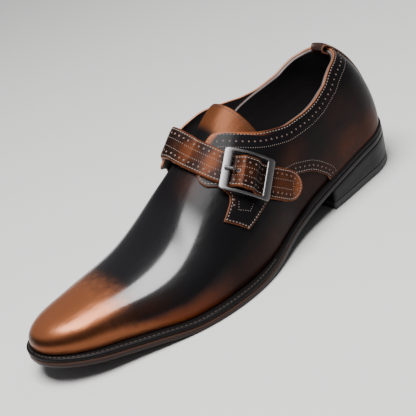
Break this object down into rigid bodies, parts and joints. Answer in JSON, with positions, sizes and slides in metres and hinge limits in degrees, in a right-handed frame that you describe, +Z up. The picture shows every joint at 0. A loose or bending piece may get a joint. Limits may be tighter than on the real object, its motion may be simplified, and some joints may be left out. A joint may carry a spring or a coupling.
{
  "type": "monk strap shoe",
  "caption": "Black and brown leather monk strap dress shoe for the left foot, with perforated edges, a square side buckle, a leather sole and a stacked heel.",
  "frame": {"origin": "On the floor under the middle of the shoe's box.", "axes": "+Z up from the floor, toe towards -Y, outer side of the foot towards +X."},
  "size_m": [0.1056, 0.3086, 0.1007],
  "materials": {
    "upper_leather": "polished",
    "strap_leather": "polished",
    "tongue_leather": "polished",
    "sole_leather": "waxed",
    "welt_leather": "waxed",
    "heel_leather": "waxed",
    "heel_rubber": "matte",
    "insole_leather": "matte",
    "buckle_metal": "brushed"
  },
  "bodies": {
    "root": {"outsole": "sole_leather", "welt": "welt_leather", "heel_stack": "heel_leather", "top_lift": "heel_rubber", "insole": "insole_leather", "upper": "upper_leather", "outer_quarter": "upper_leather", "inner_quarter": "upper_leather", "back_strip": "upper_leather", "tongue": "tongue_leather", "strap": "strap_leather", "chape": "upper_leather", "buckle_frame": "buckle_metal", "buckle_prong": "buckle_metal"}
  },
  "joints": []
}
